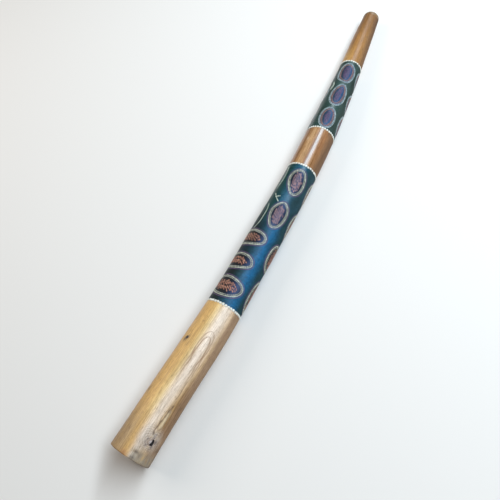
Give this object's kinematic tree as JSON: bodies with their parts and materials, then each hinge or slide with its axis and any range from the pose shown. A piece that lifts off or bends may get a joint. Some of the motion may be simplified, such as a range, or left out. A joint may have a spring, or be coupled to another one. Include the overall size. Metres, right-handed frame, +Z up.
{
  "type": "didgeridoo",
  "caption": "Crooked hollow log that lies on the floor, wide at its bell end, with a beeswax mouthpiece and two painted bands edged with raised dots",
  "frame": {"origin": "the middle of the whole object's box, on the floor that it lies on", "axes": "+X along the log from the bell end to the mouth end, +Y to the left of that, +Z up; the log curves towards -Y in its middle"},
  "size_m": [1.4554, 0.129, 0.0911],
  "materials": {
    "varnished_wood": "clear gloss varnish",
    "beeswax": "smooth wax, slightly soft sheen",
    "knot_wood": "dark dead wood under varnish",
    "blue_paint": "varnished acrylic paint",
    "green_paint": "varnished acrylic paint",
    "navy_paint": "varnished acrylic paint",
    "cream_paint": "thick raised paint dots under varnish"
  },
  "bodies": {
    "root": {"hollow_log": "varnished_wood", "beeswax_mouthpiece": "beeswax", "bell_knot": "knot_wood", "side_knot": "knot_wood", "lower_band_paint": "blue_paint", "upper_band_paint": "green_paint", "lower_band_ovals": "navy_paint", "upper_band_ovals": "navy_paint", "mouth_dot_ring": "cream_paint", "upper_band_dot_ring": "cream_paint", "lower_band_dot_ring": "cream_paint", "bell_dot_ring": "cream_paint"}
  },
  "joints": []
}
